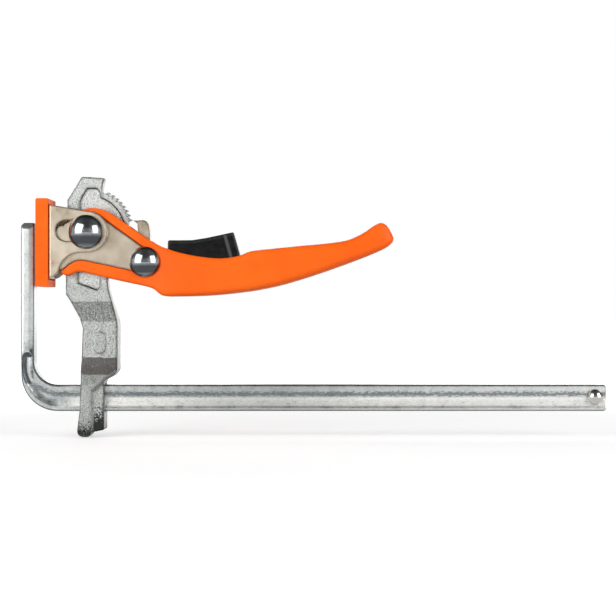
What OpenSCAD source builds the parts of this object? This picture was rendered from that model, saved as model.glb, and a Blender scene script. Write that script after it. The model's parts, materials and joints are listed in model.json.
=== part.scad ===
// Quick release bar clamp: a grooved steel rail bent up into a fixed jaw, a forged arm that slides on it,
// and a ratchet lever whose cam pushes the padded bracket at the head of the arm.
// X runs along the rail away from the fixed jaw, Y across the clamp, Z up.

/* [Rail] */
// Widest opening between the jaw face and the retracted pad
capacity = 300; // [200:10:600]
// Height of the rail section
rail_h = 16; // [14:0.5:20]
// Thickness of the rail section
rail_t = 8; // [6:0.5:10]
// Depth of the groove rolled in each side of the rail
groove_depth = 1.4; // [0.6:0.1:1.8]
// Width of the groove at the surface
groove_mouth = 10.4; // [6:0.5:11]
// Chamfer of the rail's long edges
rail_edge = 0.7; // [0.2:0.1:1]
// Length of rail past the middle of the stop rivet
rail_tail = 6.6; // [6:0.2:12]
// Radius of the stop rivet's heads
stop_head_r = 4.6; // [4:0.1:5.5]
// Radius of the stop rivet's shank
stop_shank_r = 2.5; // [1.5:0.1:3]

/* [Fixed jaw] */
// Height of the jaw above the top of the rail
jaw_h = 97.4; // [94:0.2:130]
// Thickness of the jaw along the rail
jaw_t = 7.9; // [7:0.1:11]
// Width of the flattened jaw across the clamp
jaw_w = 11.6; // [10.5:0.2:15]
// Radius of the bend on its inner side
bend_inner_r = 14.2; // [10:0.2:20]
// Radius of the bend on its outer side
bend_outer_r = 22; // [19:0.2:30]
// Opening between the jaw face and the pad with the arm where it is drawn
jaw_gap = 2.1; // [2.1:0.1:20]

/* [Arm] */
// Height of the lever's pivot above the top of the rail
throat = 91.5; // [84:0.5:140]
// Thickness of the arm's head, with the ratchet teeth
head_t = 8; // [6:0.5:10]
// Thickness of the arm's shank
shank_t = 15; // [12:0.5:18]
// Thickness of the wall on each side of the rail
slider_wall = 5.3; // [4:0.1:8]
// Height of the bridge under the rail
slider_floor = 15.2; // [10:0.2:18]
// Play of the rail in the arm's window, on each side
slide_play = 0.25; // [0.1:0.05:0.5]
// Depth of the recesses in the arm's head
recess_depth = 1; // [0.4:0.1:1.6]

/* [Ratchet] */
// Radius of the tips of the ratchet teeth
tooth_tip_r = 27.7; // [26.5:0.1:29]
// Depth of the ratchet teeth
tooth_depth = 2.6; // [1.5:0.1:3]
// Angle from one tooth to the next
tooth_pitch = 6.5; // [5:0.1:6.5]
// Number of clicks from clamped to open
clicks = 7; // [4:1:7]
// Angle of the lowest tooth above the rail's direction
first_tooth = 16; // [15:0.5:18]

/* [Cam and bracket] */
// Distance from the pivot to the inner face of the bracket's base when clamped
cam_reach = 21.8; // [21:0.1:24]
// Base radius of the involute cam, which is the pad's travel for each radian of the lever
cam_base_r = 9.2; // [8:0.1:9.4]
// Thickness of the cam plates
cam_t = 2; // [1.5:0.1:3]
// Thickness of the bracket's sheet
bracket_t = 2.2; // [1.5:0.1:3]
// Radius of the bracket's round ears
bracket_ear_r = 12.3; // [11:0.1:14]
// Height of the bracket's base above the pivot
bracket_up = 16.6; // [15:0.2:22]
// Height of the bracket's base below the pivot
bracket_down = 28.2; // [26:0.2:34]

/* [Pad] */
// Thickness of the pad in front of the bracket
pad_t = 6.1; // [4:0.1:10]
// Width of the pad across the clamp
pad_w = 27; // [25:0.5:34]
// Depth that the pad's side walls reach back past its floor
pad_skirt = 1.6; // [1:0.1:3]
// Height of the pad above and below the bracket
pad_lip = 4; // [3:0.1:6]

/* [Lever] */
// Length from the pivot to the end of the handle
lever_len = 183; // [170:1:240]
// Thickness of each cheek of the lever's fork
cheek_t = 4.6; // [3.8:0.1:6]
// Width of the handle where it is held
grip_w = 23; // [21:0.5:30]
// Play between the cam plates and the pocket that each lies in
pocket_play = 0.4; // [0.1:0.05:0.6]

/* [Trigger and pawl] */
// Width of the release trigger
trigger_w = 11; // [8:0.5:12]
// Radius of the trigger's pin
trigger_pin_r = 1.5; // [1:0.1:2]
// Play of the pawl and the trigger between the walls beside them
side_play = 0.4; // [0.2:0.1:0.8]
// Wire of the pawl's spring
spring_wire = 0.8; // [0.5:0.1:1.2]
// Radius of the pawl's spring to the middle of its wire
spring_r = 2.3; // [1.8:0.1:2.8]
// Turns of the pawl's spring
spring_turns = 5; // [3:1:7]

/* [Rivets] */
// Radius of the pivot rivet's domed heads
pivot_head_r = 10.2; // [9:0.1:12]
// Height of the pivot rivet's domed heads
pivot_head_h = 6.6; // [4:0.1:8]
// Radius of the lever rivet's domed heads
lever_head_r = 9.2; // [8:0.1:10]
// Height of the lever rivet's domed heads
lever_head_h = 6; // [4:0.1:7]
// Radius of the shanks of both rivets
shank_r = 4; // [3:0.1:4.5]
// Outer radius of the bush round the pivot rivet
bush_r = 5.25; // [4.8:0.05:5.5]
// Outer radius of the sleeve that the pawl turns on
sleeve_r = 6; // [5.5:0.1:6.5]
// Thickness of the shim washers between the lever and the arm
shim_t = 0.5; // [0.3:0.1:1]
// Thickness of the washers under the pivot rivet's heads
washer_t = 0.8; // [0.5:0.1:1.5]
// Radial play of each turning fit
fit_play = 0.05; // [0.02:0.01:0.09]

/* [Hidden] */
$fn = 64;

steel = "lightsteelblue";
plated = "tan";
orange = "darkorange";
black = "dimgray";

// Small distances shared by the pieces
face_gap = 0.05;
slip_gap = 0.3;
cam_gap = 0.25;

// How far a cutter reaches: just past a face, past the handle's side, and past a whole piece
over = 1;
beyond = 20;
far = 100;

// Radii shared by pieces, the height of the stop rivet's heads and how deep the trigger's pin sits
shim_r = 11;
arm_hub_r = 13;
stop_head_h = 3.4;
pin_inset = 3;

// The stack from the middle plane outwards
head_y = head_t / 2;
fork_y = head_y + shim_t + 2 * face_gap;
cheek_y = fork_y + cheek_t;
cam_y = cheek_y - cam_t;
bracket_y = cheek_y + slip_gap;
bracket_out_y = bracket_y + bracket_t;
washer_y = bracket_out_y + 2 * face_gap;
pivot_head_y = washer_y + washer_t;
slider_y = rail_t / 2 + slide_play + slider_wall;
prong_y = shank_t / 2 + 0.1;

// Places along and above the rail
pivot_x = jaw_gap + pad_t + bracket_t + cam_reach;
pivot_z = rail_h + throat;
slider_right = 10.2;
lever_open = clicks * tooth_pitch;
pad_travel = cam_base_r * lever_open * PI / 180;
arm_travel = capacity - pad_travel - jaw_gap;
stop_x = pivot_x + slider_right + arm_travel + slip_gap + stop_head_r;
stop_z = rail_h / 2 + 0.6;
rail_end = stop_x + rail_tail;
jaw_top = rail_h + jaw_h;
widen_from = rail_h - 2;
widen_to = rail_h + 20;
jaw_mouth = 6;

// The row frame: origin under the middle of the clamp, at the foot of the arm
frame_x = (rail_end - jaw_t) / 2;
frame_z = slide_play + slider_floor;

// The pawl and trigger, from the lever's pivot
pawl_pivot = [34.7, -17.7];
beak_r = tooth_tip_r - tooth_depth + 0.6;
beak_angle = first_tooth - 1.1;
pawl_seat = 5.4;
tail_end = 20;
tail_top = -3;
tail_t = 5;
tail_contact = 17.5;
trigger_pivot = [84, -20];
trigger_nose_r = 1.5;
well_floor = -24.6;
cavity_floor = -34.6;

function polar(r, a) = [r * cos(a), r * sin(a)];
function arc(c, r, from, to, steps) =
    [for (i = [0 : steps]) c + polar(r, from + (to - from) * i / steps)];
function reversed(list) = [for (i = [len(list) - 1 : -1 : 0]) list[i]];
function mirrored(list) = [for (p = reversed(list)) [-p[0], p[1]]];
function turned(p, a) = [p[0] * cos(a) - p[1] * sin(a), p[0] * sin(a) + p[1] * cos(a)];

// Places a piece in the row frame
module placed() {
    translate([-frame_x, 0, frame_z]) children();
}

// Moves a piece to the lever's pivot
module at_pivot() {
    translate([pivot_x, 0, pivot_z]) children();
}

// Extrudes an outline drawn in X and Z from one Y to another
module slab(y_from, y_to) {
    translate([0, y_to, 0]) rotate([90, 0, 0]) linear_extrude(y_to - y_from) children();
}

// The same outline on both sides of the clamp, between two distances from its middle plane
module both_slabs(y_in, y_out) {
    slab(y_in, y_out) children();
    slab(-y_out, -y_in) children();
}

// A round rod across the clamp
module rod(r, y_from, y_to, at = [0, 0]) {
    translate([at[0], y_to, at[1]]) rotate([90, 0, 0]) cylinder(r = r, h = y_to - y_from);
}

// A ring across the clamp, as a washer or a bush
module ring(r_out, r_in, y_from, y_to, at = [0, 0]) {
    difference() {
        rod(r_out, y_from, y_to, at);
        rod(r_in, y_from - over, y_to + over, at);
    }
}

// A domed rivet head that stands on y = 0 and faces -Y: a short land and a spherical cap
module dome(r, h) {
    land = 0.15 * h;
    cap = h - land;
    ball = (r * r + cap * cap) / (2 * cap);
    rotate([90, 0, 0]) rotate_extrude() {
        square([r, land]);
        intersection() {
            translate([0, h - ball]) circle(r = ball);
            translate([0, land]) square([r + over, cap + over]);
        }
    }
}

// A rivet across the clamp with a domed head on each side, under y_head
module rivet(r_shank, r_head, h_head, y_head, at = [0, 0]) {
    translate([at[0], 0, at[1]]) {
        rod(r_shank, -y_head, y_head);
        translate([0, -y_head, 0]) dome(r_head, h_head);
        mirror([0, 1, 0]) translate([0, -y_head, 0]) dome(r_head, h_head);
    }
}

// ---- Rail with the fixed jaw ----

// Side view of the rail, its bend and the jaw
module rail_side() {
    jaw_corner = 2.2;
    end_corner = 1.8;
    difference() {
        union() {
            translate([-jaw_t, 0]) square([rail_end + jaw_t, rail_h]);
            translate([-jaw_t, 0]) square([jaw_t, jaw_top]);
            difference() {
                translate([0, rail_h]) square([bend_inner_r, bend_inner_r]);
                translate([bend_inner_r, rail_h + bend_inner_r]) circle(r = bend_inner_r);
            }
        }
        difference() {
            translate([-jaw_t - over, -over]) square([bend_outer_r + over, bend_outer_r + over]);
            translate([bend_outer_r - jaw_t, bend_outer_r]) circle(r = bend_outer_r);
        }
        // Chamfer at the top of the jaw's back and at both corners of the rail's end
        translate([-jaw_t, jaw_top]) rotate(45) square(jaw_corner, center = true);
        for (z = [0, rail_h])
            translate([rail_end, z]) rotate(45) square(end_corner, center = true);
    }
}

// Seen along the rail: the bar widens above the bend into the flattened jaw
module rail_widths() {
    bar = rail_t / 2;
    jaw = jaw_w / 2;
    right = [[bar - rail_edge, 0], [bar, rail_edge], [bar, widen_from], [jaw, widen_to],
        [jaw, jaw_top - 3.6], [jaw - 1.6, jaw_top]];
    polygon(concat(right, mirrored(right)));
}

// Half the thickness of the bar or jaw at a height
function half_at(z) =
    rail_t / 2 + (jaw_w - rail_t) / 2 * max(0, min(1, (z - widen_from) / (widen_to - widen_from)));

// One section of the groove, hollowed in an arc: its middle, the direction across it and its size
function groove_loop(middle, across, mouth, depth) =
    let (y = half_at(middle[1]), half = mouth / 2, rise = 1.6, steps = 3)
    [for (c = concat([[-half, y + rise], [half, y + rise]],
            [for (k = [steps : -1 : -steps])
                let (u = k / steps) [half * u, y - depth * (1 - u * u)]]))
        let (p = middle + across * c[0]) [p[0], c[1], p[1]]];

// The groove along the rail, round the bend and a little way up the jaw, where it narrows
function groove_bend(t) =
    let (a = 90 * t, out = [-sin(a), -cos(a)], k = 1 - t,
         middle = [bend_inner_r, rail_h + bend_inner_r]
             + out * (bend_inner_r + jaw_t * 0.5 + k * (rail_h * 0.53 - jaw_t * 0.5)))
    groove_loop(middle, -out, jaw_mouth + k * (groove_mouth - jaw_mouth), groove_depth);

module groove() {
    up = [1, 0];
    top = rail_h + 19;
    skin(concat(
        [groove_loop([rail_end + over, rail_h * 0.47], [0, 1], groove_mouth, groove_depth)],
        [for (i = [0 : 9]) groove_bend(i / 9)],
        [groove_loop([-jaw_t * 0.5, top - 2], up, jaw_mouth, groove_depth),
            groove_loop([-jaw_t * 0.5, top], up, jaw_mouth * 0.5, groove_depth * 0.3)]));
}

module rail() {
    ridge_x = 5.2 - jaw_t;
    facet_angle = 17;
    back_edge = 1;
    placed() color(steel) difference() {
        intersection() {
            slab(-jaw_w, jaw_w) rail_side();
            translate([-jaw_t - over, 0, 0]) rotate([90, 0, 90])
                linear_extrude(rail_end + jaw_t + 2 * over) rail_widths();
        }
        for (side = [0, 1])
            mirror([0, side, 0]) {
                groove();
                // Long upper edge of the bar
                translate([bend_inner_r, rail_t / 2, rail_h]) rotate([45, 0, 0])
                    translate([0, -rail_edge * 0.7, -rail_edge * 0.7])
                    cube([rail_end, rail_edge * 1.4, rail_edge * 1.4]);
                // Facet forged along the jaw, from a ridge to its clamping face
                translate([ridge_x, jaw_w / 2, rail_h + 5]) rotate([0, 0, -facet_angle])
                    cube([-ridge_x + 0.6, jaw_w, jaw_h]);
                // Soft edge on the back of the jaw
                translate([-jaw_t, jaw_w / 2, bend_outer_r]) rotate([0, 0, 45])
                    translate([-back_edge / 2, -back_edge / 2, 0])
                    cube([back_edge, back_edge, jaw_h]);
            }
        rod(stop_shank_r, -jaw_w, jaw_w, [stop_x, stop_z]);
    }
}

module rail_stop_rivet() {
    placed() color(steel) rivet(stop_shank_r, stop_head_r, stop_head_h, rail_t / 2,
        [stop_x, stop_z]);
}

// ---- Sliding arm ----

// Ratchet teeth from the open end to the clamped end, steep on their lower side
function tooth_points() =
    [for (k = [clicks : -1 : 0]) each [
        polar(tooth_tip_r - tooth_depth, first_tooth + (k + 1) * tooth_pitch),
        polar(tooth_tip_r, first_tooth + k * tooth_pitch + 0.5),
        polar(tooth_tip_r, first_tooth + k * tooth_pitch)]];

// Front view of the arm from the pivot, with the slider's foot
module arm_side() {
    rail_top = rail_h - pivot_z;
    foot = -pivot_z - slider_floor - slide_play;
    root_r = tooth_tip_r - tooth_depth;
    hook_foot = first_tooth + (clicks + 1) * tooth_pitch;
    polygon(reversed(concat(
        [[-13.4, -4], [-12.4, 14], [-12.4, 19.8], [-10.8, 22.2], [-4.5, 32.6], [-3.2, 33.8],
            [9.8, 32.9], [10.1, 32.4], [9, 29.2], polar(tooth_tip_r - 1.4, hook_foot + 2.6)],
        tooth_points(),
        [polar(root_r, first_tooth), polar(root_r, 8), [20.5, -9], [11.6, -27], [12.5, -34],
            [14.2, -40.4], [16.5, -47.7], [17.9, -52.6], [18.3, -56]],
        [[18.3, rail_top + 9.6], [17.9, rail_top + 8], [16, rail_top + 5.5],
            [slider_right + 0.6, rail_top + 2.9], [slider_right, rail_top + 2]],
        [[slider_right, foot + 4.9], [slider_right - 0.6, foot + 4.3], [2.6, foot + 2.9],
            [1.9, foot + 1.2], [0.4, foot], [-3, foot], [-4.8, foot + 0.7], [-5.6, foot + 2.4],
            [-5.8, foot + 4.6], [-4.4, -pivot_z + 0.5], [-3.8, rail_top + 1], [-3.8, rail_top + 9]],
        [[-2.7, -57.5], [-4.4, -51.6], [-12.4, -38.4], [-13.4, -37.2]])));
}

// The arm seen along the rail: a thin head, a thicker shank and the thick slider
module arm_widths() {
    top = pivot_z + 40;
    foot = -slider_floor - slide_play;
    right = [[slider_y - 3.6, foot], [slider_y - 1.4, foot + 1.4], [slider_y, foot + 4.2],
        [slider_y, rail_h + 6], [shank_t / 2, rail_h + 16.6], [shank_t / 2, pivot_z - 53.5],
        [head_y, pivot_z - 41.5], [head_y, top]];
    polygon(concat(right, mirrored(right)));
}

// Sunk area between the hub and the toothed rim
module upper_recess() {
    inner_r = tooth_tip_r - 5.1;
    difference() {
        polygon(concat([[0, 0], [-4.8, 12], [-4.8, 18.6], [-3.6, 21.6], [-0.5, 26.7], [5.5, 26.7],
            [7.3, 24.3], [7.5, 21.4]], arc([0, 0], inner_r, 70, 6, 16)));
        circle(r = arm_hub_r);
    }
}

// Sunk area below the hub, where the lever's nose sweeps
module lower_recess() {
    difference() {
        polygon([[-5.6, -5], [-6.1, -30.6], [-1.3, -32.1], [4.2, -34.2], [5.8, -34.2], [7.2, -32.9],
            [7.2, -5]]);
        circle(r = arm_hub_r);
    }
}

// Bevel along a standing edge: points are X, Y and Z of the edge with the bevel's size there
module edge_bevel(points) {
    skin([for (p = points) let (c = p[3])
        [[p[0] + c, p[1], p[2]], [p[0], p[1] - c, p[2]], [p[0] - c, p[1], p[2]], [p[0], p[1] + c, p[2]]]]);
}

// What the recessed right side of the slider loses: a pocket with two sloped walls, open to the right
module prong_cut() {
    top = rail_h - pivot_z;
    low = -pivot_z - slider_floor - 2;
    wall_slope = 40.4;
    roof_angle = 39.5;
    intersection() {
        slab(prong_y, slider_y + 2) translate([-2, low]) square([40, 60]);
        translate([4.1, prong_y, low - over]) rotate([0, 0, wall_slope])
            translate([0, -50, 0]) cube([60, 100, 70]);
        translate([5, prong_y, top - 3.7]) rotate([0, -roof_angle, 0]) rotate([45, 0, 0])
            translate([-60, -60, -90]) cube([120, 120, 90]);
    }
}

module oval(length, r) {
    for (z = [-1, 1])
        translate([0, z * (length / 2 - r)]) circle(r = r);
    square([2 * r, length - 2 * r], center = true);
}

module sliding_arm() {
    window_y = rail_t / 2 + slide_play;
    rail_top = rail_h - pivot_z;
    foot = -pivot_z - slider_floor;
    placed() color(steel) at_pivot() difference() {
        union() {
            intersection() {
                slab(-slider_y, slider_y) arm_side();
                translate([-far / 2, 0, -pivot_z]) rotate([90, 0, 90])
                    linear_extrude(far) arm_widths();
            }
            // Raised oval on each side of the shank
            both_slabs(shank_t / 2 - over, shank_t / 2 + 0.5)
                translate([7.6, rail_top + 25.2]) oval(12.8, 3.2);
        }
        both_slabs(head_y - recess_depth, slider_y) upper_recess();
        both_slabs(head_y - recess_depth, slider_y) lower_recess();
        for (side = [0, 1])
            mirror([0, side, 0]) {
                prong_cut();
                edge_bevel([[-6.05, slider_y, foot + 2.6, 1], [-4.4, slider_y, -pivot_z + 0.5, 1],
                    [-3.8, slider_y, rail_top + 1, 1], [-3.8, slider_y, rail_top + 9, 1],
                    [-3.3, shank_t / 2, rail_top + 17.5, 1], [-2.7, shank_t / 2, -57.5, 0.9],
                    [-3.5, shank_t / 2, -55, 0.1]]);
            }
        // Window for the rail
        translate([-far / 2, -window_y, -pivot_z - slide_play])
            cube([far, 2 * window_y, rail_h + 2 * slide_play]);
        rod(bush_r, -slider_y, slider_y);
    }
}

// ---- Pieces on the pivot ----

module pivot_rivet() {
    placed() color(steel) at_pivot() rivet(shank_r, pivot_head_r, pivot_head_h, pivot_head_y);
}

module pivot_bush() {
    placed() color(steel) at_pivot() ring(bush_r, shank_r, -washer_y, washer_y);
}

module pivot_washer_front() {
    placed() color(steel) at_pivot() ring(pivot_head_r - 0.6, shank_r, -pivot_head_y, -washer_y);
}

module pivot_washer_rear() {
    placed() color(steel) at_pivot() ring(pivot_head_r - 0.6, shank_r, washer_y, pivot_head_y);
}

module shim_washer_front() {
    placed() color(steel) at_pivot() ring(shim_r, bush_r, -head_y - shim_t, -head_y);
}

module shim_washer_rear() {
    placed() color(steel) at_pivot() ring(shim_r, bush_r, head_y, head_y + shim_t);
}

// ---- Pad bracket and pad ----

// Side view of one ear of the bracket, from the pivot
module bracket_side() {
    back = -cam_reach - bracket_t;
    ear = [0.8, 0.3];
    fillet_r = 13.5;
    difference() {
        union() {
            translate(ear) circle(r = bracket_ear_r);
            polygon([[back, bracket_up], [back, -bracket_down], [back + 4, -bracket_down + 1.2],
                [back + 8.2, -bracket_down + 4.6], [-9, -15], ear + polar(bracket_ear_r, -95), ear,
                ear + polar(bracket_ear_r, 90), [back + 5, bracket_up - 0.6]]);
        }
        translate([-3.2, 0.1 - bracket_ear_r - fillet_r]) circle(r = fillet_r);
    }
}

// Slot that slides on the bush; it stands a little high on it
module bracket_slot() {
    half = 6.3;
    left = -18.3 + half;
    lift = half - bush_r - 0.12;
    translate([left, lift]) circle(r = half);
    translate([left, lift - half]) square([-left, 2 * half]);
    translate([slip_gap, lift]) circle(r = half);
}

module pad_bracket() {
    outer_bend = 2.9;
    inner_bend = outer_bend - bracket_t;
    back = -cam_reach - bracket_t;
    placed() color(plated) at_pivot() difference() {
        intersection() {
            slab(-bracket_out_y, bracket_out_y) bracket_side();
            // Seen from above: a U with rounded bends
            translate([0, 0, -bracket_down - over]) linear_extrude(bracket_up + bracket_down + 2 * over)
                difference() {
                    union() {
                        translate([back + outer_bend, -bracket_out_y])
                            square([60, 2 * bracket_out_y]);
                        translate([back, -bracket_out_y + outer_bend])
                            square([outer_bend, 2 * (bracket_out_y - outer_bend)]);
                        for (y = [-1, 1])
                            translate([back + outer_bend, y * (bracket_out_y - outer_bend)])
                                circle(r = outer_bend);
                    }
                    translate([back + outer_bend, -bracket_y]) square([80, 2 * bracket_y]);
                    translate([-cam_reach, -bracket_y + inner_bend])
                        square([inner_bend + over, 2 * (bracket_y - inner_bend)]);
                    for (y = [-1, 1])
                        translate([back + outer_bend, y * (bracket_y - inner_bend)])
                            circle(r = inner_bend);
                }
        }
        slab(-bracket_out_y - over, bracket_out_y + over) bracket_slot();
    }
}

module clamping_pad() {
    back = -cam_reach - bracket_t;
    drop = 0.4;
    low = -bracket_down - pad_lip - drop;
    tall = bracket_up + bracket_down + 2 * pad_lip;
    rim = 1;
    placed() color(orange) at_pivot() difference() {
        slab(-pad_w / 2, pad_w / 2) difference() {
            translate([back - pad_t, low]) square([pad_t + pad_skirt, tall]);
            for (z = [low, low + tall])
                translate([back - pad_t, z]) rotate(45) square(rim, center = true);
        }
        slab(-bracket_out_y, bracket_out_y)
            translate([back, -bracket_down]) square([30, bracket_up + bracket_down]);
        // Bevel along the front edge of each side
        for (y = [-pad_w / 2, pad_w / 2])
            translate([back - pad_t, y, low - over]) rotate([0, 0, 45])
                translate([-rim / 2, -rim / 2, 0]) cube([rim, rim, tall + 2 * over]);
    }
}

// ---- Lever ----

// Involute of the cam: its flat follower moves cam_base_r for each radian of the lever
function cam_point(roll, roll_rest) =
    turned([-cam_base_r * roll, -cam_base_r], (roll - roll_rest) * 180 / PI);

function cam_points(gap) =
    let (rest = (cam_reach - gap) / cam_base_r,
         first = rest - lever_open * PI / 180 - 0.03,
         last = rest + 0.56,
         steps = 14)
    [for (i = [0 : steps]) cam_point(first + (last - first) * i / steps, rest)];

// Side view of a cam plate, from the pivot: hub, tail round the lever rivet and the cam's nose
module cam_side() {
    hub_r = 12.3;
    tail_r = 6.5;
    square_on = 54.9;
    polygon(concat(cam_points(cam_gap),
        [[-14.4, -22.2], [-10.4, -18.8], [-7, -17], [-4, -16.5], [-1, -16.8]],
        arc(pawl_pivot, tail_r, -101, square_on, 12), arc([0, 0], hub_r, square_on, 150, 12),
        [[-13.4, 4]]));
}

module cam_plate(y_from, y_to) {
    placed() color(plated) at_pivot() difference() {
        slab(y_from, y_to) cam_side();
        rod(bush_r + fit_play, y_from - over, y_to + over);
        rod(shank_r, y_from - over, y_to + over, pawl_pivot);
    }
}

module cam_plate_front() {
    cam_plate(-cheek_y, -cam_y);
}

module cam_plate_rear() {
    cam_plate(cam_y, cheek_y);
}

// Ribs of the handle from the nose to the end: upper x, z, lower x, z, half width, edge radius
stretch = lever_len - 183;
grip_y = grip_w / 2;
LEVER_RIBS = [
    [-16.2, -17.5, -15.6, -24.2, cheek_y, 1],
    [-13.8, -8, -12.4, -26, cheek_y, 1.5],
    [-12.8, 3, -8, -24.6, cheek_y, 1.8],
    [-8.4, 10.4, -4.6, -23.6, cheek_y, 1.8],
    [-1, 14.2, 1, -24.6, cheek_y, 1.8],
    [8, 14.2, 8, -26.4, cheek_y, 1.8],
    [15.8, 10.4, 16, -28.2, cheek_y, 1.8],
    [24, 4.8, 25, -30.2, cheek_y, 1.8],
    [33, -1.6, 34.5, -32.2, cheek_y, 1.8],
    [42, -7.2, 40, -34, cheek_y + 0.3, 2],
    [48, -9.6, 45.5, -38, cheek_y + 1, 2.6],
    [56, -12.2, 55, -38.4, grip_y - 0.6, 3.4],
    [68, -14.5, 71, -38, grip_y, 4],
    [80, -15.5, 84, -37, grip_y, 4.4],
    [91, -14, 95, -35.7, grip_y, 4.4],
    [98, -11.2, 103, -34.5, grip_y, 4.6],
    [110, -9.8, 116, -31.8, grip_y, 5],
    [128 + stretch / 3, -8, 134 + stretch / 3, -26.5, grip_y, 5.2],
    [143 + stretch * 2 / 3, -6.6, 150 + stretch * 2 / 3, -21, grip_y - 0.4, 5.4],
    [156 + stretch, -4.6, 163 + stretch, -16.2, grip_y - 0.8, 5.2],
    [165.5 + stretch, -0.4, 173 + stretch, -12.2, grip_y - 1.2, 4.8],
    [171.6 + stretch, 3.8, 179 + stretch, -9.4, grip_y - 1.8, 4.2],
    [176.4 + stretch, 5.9, 182.4 + stretch, -7, grip_y - 2.8, 3.4],
    [180 + stretch, 4.3, 184 + stretch, -5, grip_y - 4.2, 2.8],
    [182.4 + stretch, 0.6, 184.2 + stretch, -3.2, grip_y - 6, 1.6]];

// Value of a smooth curve through a list of values, at a place between its entries
function smooth(list, t) =
    let (n = len(list), i = min(floor(t), n - 2), f = t - i,
         a = list[max(i - 1, 0)], b = list[i], c = list[i + 1], d = list[min(i + 2, n - 1)])
    b + f * (c - a) / 2 + f * f * (2 * a - 5 * b + 4 * c - d) / 2
    + f * f * f * (3 * b - 3 * c + d - a) / 2;

// One rib as a closed loop of points: a rectangle with round corners between its two edges
function rib_loop(rib, corner_steps) =
    let (top = [rib[0], rib[1]], low = [rib[2], rib[3]], tall = norm(top - low),
         up = (top - low) / tall, half = rib[4],
         r = min(rib[5], tall / 2 - 0.1, half - 0.1))
    [for (q = [0 : 3]) for (k = [0 : corner_steps])
        let (a = 90 * (q + k / corner_steps),
             side = (q == 0 || q == 3) ? 1 : -1,
             lift = (q < 2) ? tall - r : r,
             s = lift + r * sin(a),
             p = low + up * s)
        [p[0], side * (half - r) + r * cos(a), p[1]]];

// Skin over a row of loops that all have the same number of points
module skin(loops) {
    n = len(loops[0]);
    m = len(loops);
    points = [for (loop = loops) each loop];
    sides = [for (i = [0 : m - 2]) for (j = [0 : n - 1])
        let (a = i * n + j, b = i * n + (j + 1) % n) each [[a, b, b + n], [a, b + n, a + n]]];
    polyhedron(points = points, faces = concat(
        [[for (j = [n - 1 : -1 : 0]) j]], sides, [[for (j = [0 : n - 1]) (m - 1) * n + j]]),
        convexity = 6);
}

// The handle's outer form
module lever_form() {
    steps_between = 3;
    last = len(LEVER_RIBS) - 1;
    skin([for (i = [0 : last * steps_between])
        reversed(rib_loop(smooth(LEVER_RIBS, i / steps_between), 5))]);
}

// Shaft in the handle for the trigger, from the pivot
module well_side() {
    polygon([[47.5, 10], [47.5, -17], [50, well_floor], [89, well_floor], [92.4, -15], [92.4, 10]]);
}

// Space between the cheeks for the arm and the pawl
module fork_side() {
    polygon([[-40, -60], [-40, 40], [47, 40], [57, 0], [57, cavity_floor + 2], [55, cavity_floor],
        [42, cavity_floor], [37, -60]]);
}

module lever_handle() {
    well_y = trigger_w / 2 + side_play;
    placed() color(orange) at_pivot() difference() {
        lever_form();
        slab(-fork_y, fork_y) fork_side();
        slab(-well_y, well_y) well_side();
        both_slabs(cam_y, cheek_y + 3) offset(delta = pocket_play) cam_side();
        rod(bush_r + fit_play, -beyond, beyond);
        rod(shank_r, -beyond, beyond, pawl_pivot);
        // Seats for the rivet's heads, where the handle begins to widen
        rod(lever_head_r + pocket_play, cheek_y, beyond, pawl_pivot);
        rod(lever_head_r + pocket_play, -beyond, -cheek_y, pawl_pivot);
        rod(trigger_pin_r, -grip_y + pin_inset, beyond, trigger_pivot);
    }
}

module lever_rivet() {
    placed() color(steel) at_pivot() rivet(shank_r, lever_head_r, lever_head_h, cheek_y, pawl_pivot);
}

// ---- Pawl, its spring and the trigger ----

module pawl_sleeve() {
    placed() color(steel) at_pivot()
        ring(sleeve_r, shank_r, -fork_y, fork_y, pawl_pivot);
}

// The beak where it sits in a tooth gap, from the lever's pivot
module seated_beak() {
    low = beak_angle - tooth_pitch;
    polygon(reversed([polar(beak_r, beak_angle), polar(28.4, beak_angle - 1), polar(31, beak_angle - 4),
        polar(31, beak_angle - 14), polar(tooth_tip_r + 1.3, low - 1), polar(tooth_tip_r + 1.2, low)]));
}

module pawl() {
    half = fork_y - side_play;
    hub_r = 9;
    placed() color(plated) at_pivot() difference() {
        slab(-half, half) union() {
            // The beak is drawn seated, then swung clear of the teeth about the pawl's pivot
            translate(pawl_pivot) rotate(-pawl_seat) translate(-pawl_pivot) seated_beak();
            polygon([[29.4, 6.8], [31.2, -6], pawl_pivot + polar(hub_r, 150), pawl_pivot,
                pawl_pivot + polar(hub_r, 50), [37.6, -6], [37.3, 1.5], [36.6, 4.9], [35.4, 6.8],
                [33.6, 7.6], [30.8, 7.5]]);
            translate(pawl_pivot) {
                circle(r = hub_r);
                polygon([[0, tail_top - tail_t], [tail_end - 1, tail_top - tail_t],
                    [tail_end, tail_top - tail_t + 1], [tail_end, tail_top - 1],
                    [tail_end - 1, tail_top], [0, tail_top]]);
            }
        }
        rod(sleeve_r + fit_play, -beyond, beyond, pawl_pivot);
    }
}

// A wire wound round Z from the height 0 to height, as one closed tube
module coil(r, wire_r, turns, height) {
    per_turn = 14;
    count = turns * per_turn;
    sides = 6;
    skin([for (i = [0 : count])
        let (a = 360 * i / per_turn, z = wire_r + (height - 2 * wire_r) * i / count)
        [for (j = [0 : sides - 1])
            let (b = 360 * j / sides, out = r + wire_r * cos(b))
            [out * cos(a), out * sin(a), z + wire_r * sin(b)]]]);
}

module pawl_spring() {
    height = pawl_pivot[1] + tail_top - tail_t - cavity_floor - 2 * face_gap;
    placed() color(steel) at_pivot()
        translate([pawl_pivot[0] + tail_contact - 1, 0, cavity_floor + face_gap])
        coil(spring_r, spring_wire / 2, spring_turns, height);
}

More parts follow.
